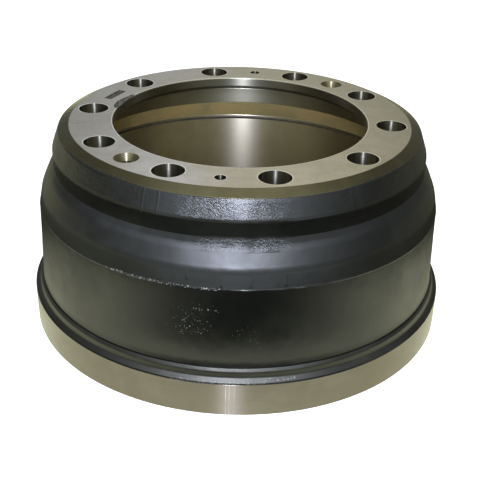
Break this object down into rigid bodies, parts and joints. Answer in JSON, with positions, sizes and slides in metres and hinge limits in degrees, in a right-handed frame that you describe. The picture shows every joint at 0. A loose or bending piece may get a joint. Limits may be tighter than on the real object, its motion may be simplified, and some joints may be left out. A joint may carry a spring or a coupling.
{
  "type": "brake drum",
  "caption": "Cast-iron brake drum: a drilled mounting flange with a pilot bore, a bulged dome, a smooth brake surface inside and a thick machined rim at its open end.",
  "frame": {"origin": "centre of the open rim's flat end, which the drum stands on", "axes": "+Z along the drum's axis from the open rim to the mounting face; +X through the centre of a wheel-stud hole"},
  "size_m": [0.4789, 0.479, 0.227],
  "materials": {
    "cast_iron": "black paint on the cast outside; mounting face, bores and open rim machined and bare"
  },
  "bodies": {
    "root": {"brake_drum": "cast_iron"}
  },
  "joints": []
}
